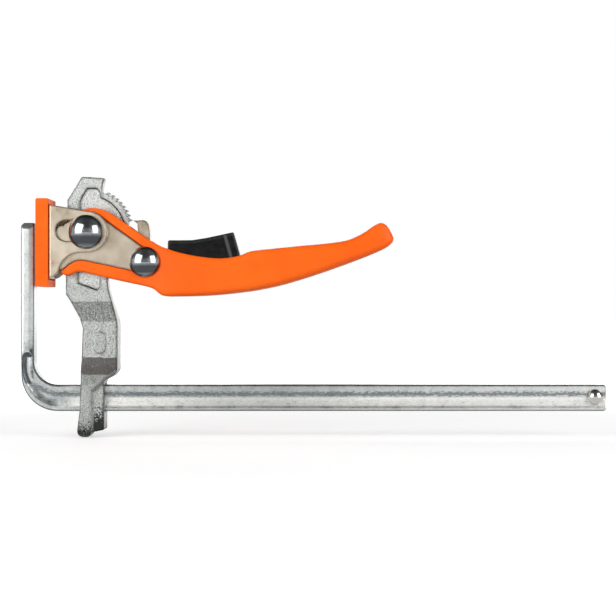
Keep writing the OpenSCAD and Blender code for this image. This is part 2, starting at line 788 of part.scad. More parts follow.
// Side view of the trigger, from the lever's pivot
module trigger_side() {
    nose = [pawl_pivot[0] + tail_contact, pawl_pivot[1] + tail_top + slip_gap + trigger_nose_r];
    polygon(reversed([[48.1, -12], [48.2, -5.2], [48.8, -4.5], [56, -4.5], [63, -4.4], [71.3, -3.1],
        [79.7, -1.3], [87.2, 0.3], [87.8, 0.1], [91.6, -13.1], [89.6, -16.5], trigger_pivot + [3.2, 0],
        trigger_pivot + [-1, -3.1], [70, -21], nose + [1.2, -1], nose, nose + [-1.5, 0]]));
    translate(nose) circle(r = trigger_nose_r);
    translate(trigger_pivot) circle(r = 3.2);
}

module release_trigger() {
    half = trigger_w / 2;
    bevel = 1.2;
    placed() color(black) at_pivot() difference() {
        slab(-half, half) trigger_side();
        // Bevels along both upper edges
        for (side = [0, 1])
            mirror([0, side, 0])
                skin([for (p = [[40, -4.5], [63, -4.4], [71.3, -3.1], [79.7, -1.3], [92, 1.3]])
                    [[p[0], half - bevel, p[1]], [p[0], half, p[1] + bevel], [p[0], half + bevel, p[1]],
                        [p[0], half, p[1] - bevel]]]);
        rod(trigger_pin_r + fit_play, -beyond, beyond, trigger_pivot);
    }
}

module trigger_pin() {
    placed() color(steel) at_pivot() rod(trigger_pin_r, -grip_y + pin_inset, grip_y - slip_gap,
        trigger_pivot);
}

rail();
rail_stop_rivet();
sliding_arm();
pivot_rivet();
pivot_bush();
pivot_washer_front();
pivot_washer_rear();
shim_washer_front();
shim_washer_rear();
pad_bracket();
clamping_pad();
cam_plate_front();
cam_plate_rear();
lever_handle();
lever_rivet();
pawl_sleeve();
pawl();
pawl_spring();
release_trigger();
trigger_pin();
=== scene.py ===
import json
import math

import bmesh
import bpy
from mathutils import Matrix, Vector, noise


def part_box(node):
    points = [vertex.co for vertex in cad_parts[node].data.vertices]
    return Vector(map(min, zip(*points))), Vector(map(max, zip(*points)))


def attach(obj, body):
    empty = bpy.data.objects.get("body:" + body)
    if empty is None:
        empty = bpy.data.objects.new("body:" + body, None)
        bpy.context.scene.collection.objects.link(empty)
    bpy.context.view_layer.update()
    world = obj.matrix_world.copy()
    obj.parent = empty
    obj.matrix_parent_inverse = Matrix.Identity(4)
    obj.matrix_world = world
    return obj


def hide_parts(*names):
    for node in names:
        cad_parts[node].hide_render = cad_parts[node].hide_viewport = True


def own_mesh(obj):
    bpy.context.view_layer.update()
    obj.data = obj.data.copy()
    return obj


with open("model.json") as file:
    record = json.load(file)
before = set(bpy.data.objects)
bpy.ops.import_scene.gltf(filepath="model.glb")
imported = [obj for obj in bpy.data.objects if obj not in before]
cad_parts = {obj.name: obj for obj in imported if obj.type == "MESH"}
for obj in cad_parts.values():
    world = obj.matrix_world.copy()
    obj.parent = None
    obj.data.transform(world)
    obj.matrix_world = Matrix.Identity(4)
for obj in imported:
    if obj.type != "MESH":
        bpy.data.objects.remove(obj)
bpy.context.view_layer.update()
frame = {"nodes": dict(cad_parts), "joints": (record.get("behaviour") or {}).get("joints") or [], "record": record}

record = frame["record"]
MM = 0.001


# ---- Sizes that part.scad gives the pieces ----

RAIL_HEIGHT = 16 * MM
RAIL_HALF_THICKNESS = 4 * MM
JAW_THICKNESS = 7.9 * MM
BEND_INNER_RADIUS = 14.2 * MM
BEND_OUTER_RADIUS = 22 * MM
RIVET_SHANK_RADIUS = 4 * MM
STOP_SHANK_RADIUS = 2.5 * MM
BUSH_RADIUS = 5.25 * MM
SPRING_WIRE_RADIUS = 0.4 * MM
SPRING_TURNS = 5
# About how far the trigger's thumb end leans along X for each unit of height
THUMB_END_LEAN = 0.28


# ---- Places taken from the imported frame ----

def centre(node):
    low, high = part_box(node)
    return (low + high) / 2


def joint_place(name):
    for joint in frame["joints"]:
        if joint["name"] == name:
            return Vector(joint["pos_m"])
    raise ValueError(name)


pivot = joint_place("lever_pivot")
rail_low, rail_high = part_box("rail")
rail_top = rail_low.z + RAIL_HEIGHT
# Centre of the rail's inner bend, from the rail's lower corner
bend_along = JAW_THICKNESS + BEND_INNER_RADIUS
bend_height = RAIL_HEIGHT + BEND_INNER_RADIUS
# Sides of the arm: at its hub and head, and at its slider
head_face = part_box("shim_washer_rear")[0].y
slider_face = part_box("sliding_arm")[1].y


# ---- Camera ----

def add_camera():
    """A level camera, straight at the clamp's side."""
    along, distance, height = -3.54 * MM, 880 * MM, 77.6 * MM
    data = bpy.data.cameras.new("camera")
    data.lens = 85
    data.sensor_width = 36
    camera = bpy.data.objects.new("camera", data)
    camera.location = (along, -distance, height)
    camera.rotation_euler = (math.radians(90), 0, 0)
    bpy.context.scene.collection.objects.link(camera)
    bpy.context.scene.camera = camera
    bpy.context.scene.view_settings.view_transform = "Standard"


# ---- Meshes ----

def link(name, mesh):
    obj = bpy.data.objects.new(name, mesh)
    bpy.context.scene.collection.objects.link(obj)
    return obj


def applied(obj):
    """Bakes an object's modifiers into its mesh."""
    graph = bpy.context.evaluated_depsgraph_get()
    mesh = bpy.data.meshes.new_from_object(obj.evaluated_get(graph))
    obj.modifiers.clear()
    obj.data = mesh


def smooth_shaded(mesh):
    mesh.polygons.foreach_set("use_smooth", [True] * len(mesh.polygons))
    mesh.update()


def built(name, form):
    """Turns the faces drawn in a bmesh into an object, with its normals outwards."""
    bmesh.ops.recalc_face_normals(form, faces=form.faces)
    mesh = bpy.data.meshes.new(name)
    form.to_mesh(mesh)
    form.free()
    smooth_shaded(mesh)
    return link(name, mesh)


def softened(node, voxel, rounds, keep, roughen):
    """A copy of a CAD node with its edges rounded over, as forging, moulding or plating leaves
    them.

    The copy is remeshed to small even faces and smoothed a number of rounds. roughen, where it is
    given, says how far a point moves along its normal. keep is the share of the faces that stays.
    """
    doubles = 0.001 * MM
    mesh = frame["nodes"][node].data.copy()
    form = bmesh.new()
    form.from_mesh(mesh)
    bmesh.ops.remove_doubles(form, verts=form.verts, dist=doubles)
    form.to_mesh(mesh)
    form.free()
    mesh.materials.clear()
    obj = link(node + "_form", mesh)
    remesh = obj.modifiers.new("remesh", "REMESH")
    remesh.mode = "VOXEL"
    remesh.voxel_size = voxel
    smooth = obj.modifiers.new("smooth", "SMOOTH")
    smooth.factor = 0.5
    smooth.iterations = rounds
    applied(obj)
    if roughen:
        moved = [v.co + v.normal * roughen(v.co) for v in obj.data.vertices]
        for vertex, place in zip(obj.data.vertices, moved):
            vertex.co = place
    decimate = obj.modifiers.new("decimate", "DECIMATE")
    decimate.ratio = keep
    applied(obj)
    smooth_shaded(obj.data)
    return obj


def lathed(name, profile, place):
    """A surface turned about Y. profile holds (radius, y) points."""
    steps = 96
    form = bmesh.new()
    rings = []
    for radius, y in profile:
        if radius == 0:
            rings.append([form.verts.new((place.x, y, place.z))])
            continue
        rings.append([
            form.verts.new((
                place.x + radius * math.cos(2 * math.pi * i / steps), y,
                place.z + radius * math.sin(2 * math.pi * i / steps)))
            for i in range(steps)])
    for lower, upper in zip(rings, rings[1:]):
        for i in range(steps):
            j = (i + 1) % steps
            corners = [lower[i % len(lower)], lower[j % len(lower)],
                       upper[j % len(upper)], upper[i % len(upper)]]
            form.faces.new(list(dict.fromkeys(corners)))
    return built(name, form)


def arc(middle, radius, start, stop, steps):
    """Points on an arc in the profile's plane, angles in degrees."""
    angles = [math.radians(start + (stop - start) * i / steps) for i in range(steps + 1)]
    return [(middle[0] + radius * math.cos(angle), middle[1] + radius * math.sin(angle))
            for angle in angles]


def dome_profile(radius, height, seat):
    """Profile of a rivet's head at y < 0, from its seat outwards to the middle of its dome.

    A short upright land carries the cap of a ball, which starts a little past its rim.
    """
    land = 0.15 * height
    cap = height - land
    ball = (radius * radius + cap * cap) / (2 * cap)
    rim = math.degrees(math.asin((ball - cap) / ball))
    blend = 0.35 * MM
    past_rim = 1.2
    on_axis = 0.0001 * MM
    dome = arc((0, -seat - height + ball), ball, -rim - past_rim, -90, steps=28)
    return [(radius - blend, -seat), (radius, -seat - blend), (radius, -seat - land)] + \
        [(r if r > on_axis else 0, y) for r, y in dome]


def rivet(node, shank, seat):
    """A rivet through the clamp with a polished domed head on each side of it."""
    low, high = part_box(node)
    place = centre(node)
    head = (high.x - low.x) / 2
    height = high.y - seat
    front = dome_profile(head, height, seat)
    shank_end = seat - 0.1 * MM
    profile = list(reversed(front)) + [(shank, -shank_end), (shank, shank_end)] + \
        [(r, -y) for r, y in front]
    return lathed(node + "_form", profile, place)


def washer(node, hole):
    """A stamped washer with rounded rims."""
    low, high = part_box(node)
    place = centre(node)
    outer = (high.x - low.x) / 2
    edge = 0.28 * (high.y - low.y)
    corner = 0.3 * edge
    profile = [(hole, low.y + edge), (hole + edge, low.y), (outer - edge, low.y),
               (outer - corner, low.y + corner), (outer, low.y + edge),
               (outer, high.y - edge), (outer - corner, high.y - corner),
               (outer - edge, high.y), (hole + edge, high.y), (hole, high.y - edge),
               (hole, low.y + edge)]
    return lathed(node + "_form", profile, place)


def spring(node, wire, turns):
    """A coil spring round Z whose end turns lie flatter. wire is the radius of its wire."""
    low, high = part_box(node)
    middle = centre(node)
    radius = (high.x - low.x) / 2 - wire
    rise = high.z - low.z - 2 * wire
    per_turn, sides = 40, 12
    flattening = 0.8
    form = bmesh.new()
    rings = []
    for i in range(turns * per_turn + 1):
        angle = 2 * math.pi * i / per_turn
        u = i / (turns * per_turn)
        share = u - flattening * math.sin(2 * math.pi * u) / (2 * math.pi)
        outward = Vector((math.cos(angle), math.sin(angle), 0))
        core = Vector((middle.x, middle.y, low.z + wire + rise * share)) + outward * radius
        rings.append([
            form.verts.new(core + outward * wire * math.cos(2 * math.pi * k / sides)
                           + Vector((0, 0, wire * math.sin(2 * math.pi * k / sides))))
            for k in range(sides)])
    for first, second in zip(rings, rings[1:]):
        for k in range(sides):
            after = (k + 1) % sides
            form.faces.new([first[k], first[after], second[after], second[k]])
    form.faces.new(rings[0])
    form.faces.new(rings[-1])
    return built(node + "_form", form)


# ---- Nodes of materials and of the world ----

class Nodes:
    """Short calls that add nodes to a tree. A value is an output of a node, or a constant."""

    def __init__(self, tree):
        self.tree = tree

    def feed(self, socket, value):
        if isinstance(value, bpy.types.NodeSocket):
            self.tree.links.new(value, socket)
        else:
            socket.default_value = value

    def node(self, kind, **inputs):
        made = self.tree.nodes.new(kind)
        for name, value in inputs.items():
            self.feed(made.inputs[name.replace("_", " ")], value)
        return made

    def operated(self, kind, operation, values):
        """A node that works one or more values into another, such as a sum."""
        made = self.tree.nodes.new(kind)
        made.operation = operation
        for socket, value in zip(made.inputs, values):
            self.feed(socket, value)
        return made

    def math(self, operation, *values):
        return self.operated("ShaderNodeMath", operation, values).outputs[0]

    def measured(self, operation, *vectors):
        """A number from one vector or two, such as their distance."""
        return self.operated("ShaderNodeVectorMath", operation, vectors).outputs["Value"]

    def times(self, first, *others):
        for other in others:
            first = self.math("MULTIPLY", first, other)
        return first

    def larger(self, first, second):
        return self.math("MAXIMUM", first, second)

    def ramp(self, value, low, high, start=0.0, end=1.0, shape="LINEAR"):
        """Maps a value from low..high to start..end."""
        made = self.node("ShaderNodeMapRange", Value=value, From_Min=low, From_Max=high,
                         To_Min=start, To_Max=end)
        made.interpolation_type = shape
        return made.outputs["Result"]

    def band(self, value, low, high, soft):
        """1 between two values, fading over a width outside them."""
        return self.times(self.ramp(value, low - soft, low),
                          self.ramp(value, high, high + soft, 1, 0))

    def rays(self):
        """Two values, 1 on a ray from the camera and 1 on a ray that a mirror or glass sends."""
        path = self.tree.nodes.new("ShaderNodeLightPath").outputs
        mirrored = self.larger(path["Is Glossy Ray"], path["Is Transmission Ray"])
        return path["Is Camera Ray"], mirrored


class Shader(Nodes):
    """A material's nodes, with calls for what these materials share. Lengths are in metres."""

    def __init__(self, name):
        self.material = bpy.data.materials.new(name)
        self.material.use_nodes = True
        super().__init__(self.material.node_tree)
        self.bsdf = self.tree.nodes["Principled BSDF"]
        self.place = self.tree.nodes.new("ShaderNodeTexCoord").outputs["Object"]

    def set(self, **inputs):
        for name, value in inputs.items():
            self.feed(self.bsdf.inputs[name.replace("_", " ")], value)

    def axis(self, letter):
        return self.node("ShaderNodeSeparateXYZ", Vector=self.place).outputs[letter]

    def facing(self, letter):
        """The surface's normal along X, Y or Z, in the piece's own axes."""
        normal = self.tree.nodes.new("ShaderNodeTexCoord").outputs["Normal"]
        return self.node("ShaderNodeSeparateXYZ", Vector=normal).outputs[letter]

    def squareness(self):
        """1 where the surface faces the clamp's front or back, and 0 on the walls between them."""
        return self.math("ABSOLUTE", self.facing("Y"))

    def stretched(self, scale):
        """Object coordinates scaled along X, Y and Z, for grain that runs one way."""
        return self.node("ShaderNodeMapping", Vector=self.place, Scale=scale).outputs["Vector"]

    def noise(self, size, detail=4, roughness=0.55, vector=None, distortion=0.0):
        made = self.node("ShaderNodeTexNoise", Vector=vector or self.place, Scale=1 / size,
                         Detail=detail, Roughness=roughness, Distortion=distortion)
        return made.outputs["Fac"]

    def spots(self, size):
        made = self.node("ShaderNodeTexVoronoi", Vector=self.place, Scale=1 / size)
        return made.outputs["Distance"]

    def mix(self, share, first, second):
        """Mixes two colours by a share from 0 to 1."""
        first_colour, second_colour, mixed_colour = 6, 7, 2
        made = self.node("ShaderNodeMix")
        made.data_type = "RGBA"
        self.feed(made.inputs["Factor"], share)
        for socket, colour in ((first_colour, first), (second_colour, second)):
            if not isinstance(colour, bpy.types.NodeSocket):
                colour = (*colour, 1)
            self.feed(made.inputs[socket], colour)
        return made.outputs[mixed_colour]

    def bulge(self, low, high):
        """Rises from 0 to 1 between two values of pointiness, where 0.5 is flat and more is an
        outer edge."""
        geometry = self.tree.nodes.new("ShaderNodeNewGeometry")
        return self.ramp(geometry.outputs["Pointiness"], low, high)

    def flatness(self, radius):
        """1 on the flat, falling to about 0.7 at an edge that is nearer than the radius."""
        made = self.node("ShaderNodeBevel", Radius=radius)
        made.samples = 6
        geometry = self.tree.nodes.new("ShaderNodeNewGeometry")
        return self.measured("DOT_PRODUCT", made.outputs["Normal"], geometry.outputs["Normal"])

    def bump(self, height, distance, strength, normal=None):
        made = self.node("ShaderNodeBump", Height=height, Distance=distance, Strength=strength)
        if normal:
            self.feed(made.inputs["Normal"], normal)
        return made.outputs["Normal"]


# ---- Materials ----

def zinc_rail():
    """Bright zinc on a drawn bar: streaks along it, mottled where it was forged into the jaw. Light and shade are
    painted into its colour: a dark blue reflection line along the groove's upper side, a pale highlight band below
    it, shade at the groove's end, on the walls and on the jaw's top, a lighter jaw, a dim stretch along the bar, a
    brighter free end, and thin dark lines along the edges and the inner side of the bend with a pale line inside
    them."""
    s = Shader("zinc_rail")
    streaks = s.noise(0.5 * MM, 3, 0.6, s.stretched((0.03, 1, 1)))
    blotches = s.noise(5 * MM, 4, 0.6)
    mottle = s.noise(0.9 * MM, 3, 0.6, s.stretched((0.4, 1, 1)))
    grain = s.noise(0.45 * MM, 2)
    height = s.math("SUBTRACT", s.axis("Z"), rail_low.z)
    along = s.math("SUBTRACT", s.axis("X"), rail_low.x)
    flat = s.flatness(1.8 * MM)

    def from_bend(across, up):
        """Distance from the centre of a bend, or from its level on the straight runs beside it."""
        short_x = s.larger(s.math("SUBTRACT", across, along), 0.0)
        short_z = s.larger(s.math("SUBTRACT", up, height), 0.0)
        return s.math("SQRT", s.math("ADD", s.times(short_x, short_x), s.times(short_z, short_z)))

    # Distances from the bent bar's inner and outer edge
    inset = s.math("SUBTRACT", from_bend(bend_along, bend_height), BEND_INNER_RADIUS)
    outset = s.math("SUBTRACT", BEND_OUTER_RADIUS,
                    from_bend(BEND_OUTER_RADIUS, BEND_OUTER_RADIUS))

    # Where the marks and the painted light and shade lie
    in_bar = s.ramp(along, 24 * MM, 34 * MM)
    in_bend = s.times(s.ramp(along, 30 * MM, 22 * MM), s.ramp(height, 48 * MM, 32 * MM))
    on_side = s.ramp(s.squareness(), 0.2, 0.5)
    painted_wall_shade = s.ramp(s.squareness(), 0.75, 0.45)
    painted_light_jaw = s.ramp(height, 40 * MM, 55 * MM)
    painted_top_shade = s.times(s.ramp(height, 105 * MM, 109 * MM), s.ramp(s.facing("Z"), 0.12, 0.25))
    painted_dim_stretch = s.band(along, 120 * MM, 155 * MM, 60 * MM)
    painted_bright_free_end = s.ramp(along, 190 * MM, 330 * MM, 0, 0.45)
    bright = s.times(in_bar, s.band(height, 3.6 * MM, 7.6 * MM, 1.2 * MM))
    upper = s.times(in_bar, s.band(height, 8.5 * MM, 14.5 * MM, 0.8 * MM))
    uneven = s.math("ADD", inset, s.ramp(mottle, 0.3, 0.7, -1.3 * MM, 1.3 * MM))
    painted_dark_line = s.times(s.ramp(height, 19 * MM, 15 * MM), s.band(uneven, 4.9 * MM, 6.4 * MM, 0.9 * MM))
    hollow = s.larger(s.ramp(s.facing("X"), 0.10, 0.22), s.ramp(s.facing("Z"), -0.10, -0.22))
    painted_dark_groove_end = s.times(s.band(height, 17 * MM, 37 * MM, 1.5 * MM),
                         s.ramp(along, 8 * MM, 6.5 * MM), hollow)
    inner = s.times(in_bend, s.band(inset, -1 * MM, 1.1 * MM, 0.5 * MM))
    painted_bend_edge_shade = s.larger(s.band(outset, -1 * MM, 0.5 * MM, 0.5 * MM),
                       s.band(inset, -1 * MM, 0.3 * MM, 0.4 * MM))
    rim = s.band(flat, 0.986, 0.994, 0.003)

    tone = s.mix(s.ramp(blotches, 0.35, 0.65), (0.42, 0.45, 0.445), (0.58, 0.605, 0.59))
    # Painted highlight: a pale band along the groove
    tone = s.mix(bright, tone, (0.97, 0.96, 0.91))
    tone = s.mix(s.ramp(mottle, 0.42, 0.62, 0, 0.24), tone, (0.25, 0.27, 0.27))
    # Painted reflection: the bar brightens towards its free end
    tone = s.mix(painted_bright_free_end, tone, (0.98, 0.98, 0.96))
    # Painted light: the jaw is lighter
    tone = s.mix(s.times(painted_light_jaw, 0.35), tone, (0.90, 0.92, 0.90))
    # Painted reflection: a dim stretch along the bar
    tone = s.mix(s.times(painted_dim_stretch, 0.35), tone, (0.18, 0.19, 0.19))
    # Painted reflection: a dark blue line along the groove's upper side
    tone = s.mix(s.times(painted_dark_line, 0.75), tone, (0.07, 0.10, 0.12))
    tone = s.mix(s.ramp(streaks, 0.3, 0.75, 0, 0.3), tone, (0.30, 0.32, 0.32))
    # Painted shade on the walls
    tone = s.mix(s.times(painted_wall_shade, 0.25), tone, (0.12, 0.13, 0.13))
    # Painted highlight: a pale line just inside each edge
    tone = s.mix(s.times(rim, 0.5), tone, (0.95, 0.96, 0.94))
    # Painted shade at the groove's end by the jaw
    tone = s.mix(s.times(painted_dark_groove_end, 0.9), tone, (0.03, 0.04, 0.05))
    # Painted shade: dark lines along the inner and outer edges of the bend
    tone = s.mix(s.times(s.larger(inner, painted_bend_edge_shade), 0.8, on_side), tone, (0.05, 0.06, 0.06))
    # Painted shade on the upward faces at the jaw's top
    tone = s.mix(s.times(painted_top_shade, 0.85), tone, (0.10, 0.11, 0.11))
    # Painted shade: a thin dark line along every edge
    tone = s.mix(s.ramp(flat, 0.988, 0.965, 0, 0.85), tone, (0.02, 0.025, 0.025))

    # The painted highlight band, and the band above it, are made less metallic, which sets how pale they render
    less_metal = s.math("ADD", s.times(bright, 0.55), s.times(upper, 0.22))
    rough = s.math("ADD", s.ramp(streaks, 0.3, 0.7, 0.0, 0.12),
                   s.ramp(blotches, 0.3, 0.7, 0.20, 0.32))
    drawn = s.bump(streaks, 0.05 * MM, 0.5)
    s.set(Base_Color=tone, Metallic=s.math("SUBTRACT", 1.0, less_metal), Roughness=rough,
          Normal=s.bump(grain, 0.05 * MM, 0.5, drawn))
    return s.material


def forged_zinc():
    """Zinc over a drop forging: a grainy skin, grey on the raised faces and pale in the hollows. Shade is painted
    into its colour: dark in creases, on the walls and along edges, a dark facet low on its sides, a darker band on
    its upward sides higher up, and nearly black on its foot."""
    s = Shader("forged_zinc")
    pebbles = s.noise(0.8 * MM, 3, 0.6)
    fine = s.noise(0.35 * MM, 2)
    blotches = s.noise(6 * MM, 4, 0.62, distortion=0.4)
    height = s.math("SUBTRACT", s.axis("Z"), rail_top)
    out = s.math("ABSOLUTE", s.axis("Y"))
    side_on = s.ramp(s.squareness(), 0.78, 0.92)
    upward = s.ramp(s.facing("Z"), 0.08, 0.16)
    uneven = s.math("ADD", height, s.ramp(pebbles, 0.36, 0.64, -5 * MM, 5 * MM))

    # Forms of the arm, from its foot up
    foot = s.ramp(uneven, -22 * MM, -27 * MM)
    prong = s.times(s.ramp(out, slider_face - 0.8 * MM, slider_face - 1.4 * MM), side_on)
    prong_foot = s.times(prong, s.ramp(uneven, -15 * MM, -19 * MM))
    rib = s.times(s.ramp(height, 3 * MM, -2 * MM), s.math("SUBTRACT", 1.0, prong))
    painted_dark_facet = s.times(upward, side_on, s.band(height, 5.0 * MM, 17.2 * MM, 0.5 * MM))
    shank = s.band(height, 17 * MM, 33 * MM, 3 * MM)
    painted_dark_taper = s.times(upward, side_on, s.band(height, 34 * MM, 56 * MM, 2 * MM))
    neck = s.band(height, 62 * MM, 90 * MM, 4 * MM)
    head = s.ramp(s.axis("Z"), pivot.z + 14 * MM, pivot.z + 20 * MM)
    hollow = s.ramp(out, head_face - 0.5 * MM, head_face - 0.9 * MM)
    from_pivot = s.measured("DISTANCE", s.stretched((1, 0, 1)), (pivot.x, 0, pivot.z))
    toothed = s.times(s.band(from_pivot, 23.5 * MM, 29 * MM, 0.5 * MM),
                      s.ramp(s.axis("X"), pivot.x + 8 * MM, pivot.x + 11 * MM),
                      s.ramp(s.axis("Z"), pivot.z, pivot.z + 4 * MM))

    raised = s.mix(s.ramp(blotches, 0.33, 0.66), (0.17, 0.18, 0.165), (0.28, 0.29, 0.275))
    sunk = s.mix(s.ramp(blotches, 0.33, 0.66), (0.40, 0.41, 0.395), (0.55, 0.56, 0.545))
    tone = s.mix(hollow, raised, sunk)
    tone = s.mix(s.times(s.larger(prong, shank), 0.6), tone, (0.45, 0.465, 0.45))
    # Painted shade: a darker band on the upward-turned sides higher up
    tone = s.mix(s.times(painted_dark_taper, 0.6), tone, (0.075, 0.08, 0.075))
    tone = s.mix(s.times(rib, 0.5), tone, (0.42, 0.435, 0.42))
    tone = s.mix(s.times(s.larger(head, neck), 0.45), tone, (0.52, 0.53, 0.51))
    tone = s.mix(s.ramp(pebbles, 0.53, 0.38, 0, 0.6), tone, (0.045, 0.05, 0.045))
    tone = s.mix(s.ramp(fine, 0.54, 0.66, 0, 0.6), tone, (0.74, 0.75, 0.72))
    # Painted reflection: a dark facet low on the arm's upward-turned sides
    tone = s.mix(s.times(painted_dark_facet, 0.88), tone, (0.062, 0.055, 0.052))
    # Painted shade: nearly black on the arm's foot and on its prongs' foot
    scale = s.larger(s.times(foot, 0.92), s.times(prong_foot, 0.95))
    tone = s.mix(scale, tone, (0.012, 0.014, 0.013))
    # Painted shade on the walls
    tone = s.mix(s.ramp(side_on, 1.0, 0.0, 0, 0.3), tone, (0.10, 0.10, 0.10))
    # Painted shade lines along edges and creases would fill the teeth, so they are weaker there
    lines = s.times(s.ramp(s.flatness(2.0 * MM), 0.988, 0.965, 0, 0.95),
                    s.ramp(toothed, 0, 1, 1, 0.25))
    tone = s.mix(lines, tone, (0.012, 0.012, 0.012))

    rough = s.math("ADD", s.ramp(pebbles, 0.3, 0.7, 0.02, 0.14),
                   s.ramp(blotches, 0.3, 0.7, 0.2, 0.3))
    skin = s.bump(pebbles, 0.45 * MM, 0.8)
    s.set(Base_Color=tone, Metallic=1.0, Roughness=rough,
          Normal=s.bump(fine, 0.12 * MM, 0.6, skin))
    return s.material


def nickel_sheet():
    """Warm nickel on rolled sheet steel: fine rolling lines and slight tarnish, and paler on its outer edges,
    partly rubbed wear and partly a painted highlight. Painted shade darkens its sheared walls and lays a thin dark
    line along each edge."""
    s = Shader("nickel_sheet")
    rolled = s.noise(0.28 * MM, 3, 0.6, s.stretched((0.12, 1, 1)))
    tarnish = s.noise(9 * MM, 3, 0.5)
    grain = s.noise(0.4 * MM, 2)
    tone = s.mix(s.ramp(tarnish, 0.32, 0.68), (0.52, 0.435, 0.325), (0.61, 0.54, 0.435))
    tone = s.mix(s.ramp(rolled, 0.35, 0.8, 0, 0.3), tone, (0.46, 0.39, 0.32))
    # Paler outer edges: partly rubbed wear, partly a painted highlight
    tone = s.mix(s.bulge(0.53, 0.6), tone, (0.82, 0.77, 0.69))
    # Painted shade on the sheared walls
    tone = s.mix(s.ramp(s.squareness(), 0.65, 0.35, 0, 0.4), tone, (0.12, 0.10, 0.08))
    # Painted shade: a thin dark line along each edge
    lines = s.ramp(s.flatness(1.6 * MM), 0.99, 0.965, 0, 0.8)
    tone = s.mix(lines, tone, (0.03, 0.026, 0.022))
    s.set(Base_Color=tone, Metallic=1.0, Roughness=s.ramp(tarnish, 0.3, 0.7, 0.26, 0.38),
          Normal=s.bump(grain, 0.03 * MM, 0.4, s.bump(rolled, 0.02 * MM, 0.4)))
    return s.material


def polished_steel():
    """Polished rivet heads: nearly a mirror, with handling marks, and with painted shade on their lower half and
    at their seat. The stop rivet at the rail's end is paler."""
    s = Shader("polished_steel")
    marks = s.noise(2.5 * MM, 5, 0.65, distortion=0.6)
    fine = s.noise(0.25 * MM, 2)
    tone = s.mix(s.ramp(marks, 0.4, 0.7), (0.28, 0.30, 0.315), (0.39, 0.41, 0.42))
    painted_dark_underside = s.band(s.facing("Z"), -0.55, -0.25, 0.28)
    # Painted reflection: darker on the lower half of each head
    tone = s.mix(s.times(painted_dark_underside, 0.85), tone, (0.028, 0.032, 0.035))
    seat = s.ramp(s.squareness(), 0.5, 0.25, 0, 0.8)
    # Painted shade round each head's rim, at its seat
    tone = s.mix(seat, tone, (0.02, 0.021, 0.022))
    at_rail_end = s.ramp(s.axis("X"), rail_high.x - 20 * MM, rail_high.x - 15 * MM)
    tone = s.mix(at_rail_end, tone, (0.50, 0.49, 0.46))
    s.set(Base_Color=tone, Metallic=1.0, Roughness=s.ramp(marks, 0.35, 0.7, 0.07, 0.17),
          Normal=s.bump(fine, 0.01 * MM, 0.25, s.bump(marks, 0.05 * MM, 0.25)))
    return s.material


def plain_steel():
    """Turned and blanked steel parts inside the clamp, with a film of grease."""
    s = Shader("plain_steel")
    turned = s.noise(0.2 * MM, 3, 0.5, s.stretched((1, 4, 1)))
    film = s.noise(3 * MM, 3)
    tone = s.mix(s.ramp(film, 0.35, 0.65), (0.36, 0.37, 0.38), (0.55, 0.56, 0.57))
    s.set(Base_Color=tone, Metallic=1.0, Roughness=s.ramp(film, 0.3, 0.7, 0.22, 0.4),
          Normal=s.bump(turned, 0.02 * MM, 0.5))
    return s.material


def spring_steel():
    """Dark drawn wire with a fine grain."""
    s = Shader("spring_steel")
    drawn = s.noise(0.15 * MM, 2)
    tone = s.mix(s.ramp(s.noise(1.5 * MM), 0.3, 0.7), (0.22, 0.22, 0.24), (0.4, 0.4, 0.41))
    s.set(Base_Color=tone, Metallic=1.0, Roughness=s.ramp(drawn, 0.3, 0.7, 0.2, 0.36),
          Normal=s.bump(drawn, 0.01 * MM, 0.5))
    return s.material


def orange_enamel():
    """Powder coat on the handle: orange peel, a little unevenness, a few dark specks, and painted shade where it
    turns away from the clamp's sides."""
    s = Shader("orange_enamel")
    peel = s.noise(0.9 * MM, 2, 0.4)
    fine = s.noise(0.3 * MM, 2)
    cloud = s.noise(28 * MM, 3, 0.5)
    tone = s.mix(s.ramp(cloud, 0.3, 0.7), (0.92, 0.112, 0.005), (0.96, 0.140, 0.008))
    # Painted shade where the coat turns away from the clamp's front and back
    tone = s.mix(s.ramp(s.squareness(), 0.45, 0.15, 0, 0.3), tone, (0.50, 0.050, 0.003))
    specks = s.ramp(s.noise(0.5 * MM, 1), 0.70, 0.76, 0, 0.25)
    tone = s.mix(specks, tone, (0.55, 0.06, 0.01))
    rough = s.ramp(s.noise(6 * MM, 4, 0.6), 0.3, 0.7, 0.34, 0.46)
    s.set(Base_Color=tone, Roughness=rough, Specular_IOR_Level=0.16,
          Normal=s.bump(fine, 0.01 * MM, 0.4, s.bump(peel, 0.035 * MM, 0.5)))
    return s.material


def orange_plastic():
    """Moulded pad: matt, with fine mould grain, and paler on its edges and scuffs."""
    s = Shader("orange_plastic")
    grain = s.spots(0.35 * MM)
    scuffs = s.noise(0.5 * MM, 3, 0.6, s.stretched((1, 1, 0.12)))
    cloud = s.noise(12 * MM, 3)
    tone = s.mix(s.ramp(cloud, 0.3, 0.7), (0.92, 0.118, 0.008), (0.96, 0.150, 0.014))
    tone = s.mix(s.ramp(scuffs, 0.62, 0.8, 0, 0.35), tone, (0.98, 0.26, 0.09))
    tone = s.mix(s.bulge(0.54, 0.64), tone, (1.0, 0.2, 0.04))
    s.set(Base_Color=tone, Roughness=s.ramp(scuffs, 0.3, 0.75, 0.5, 0.65),
          Specular_IOR_Level=0.06, Subsurface_Weight=0.06, Subsurface_Scale=2 * MM,
          Normal=s.bump(grain, 0.02 * MM, 0.5, s.bump(scuffs, 0.02 * MM, 0.3)))
    return s.material


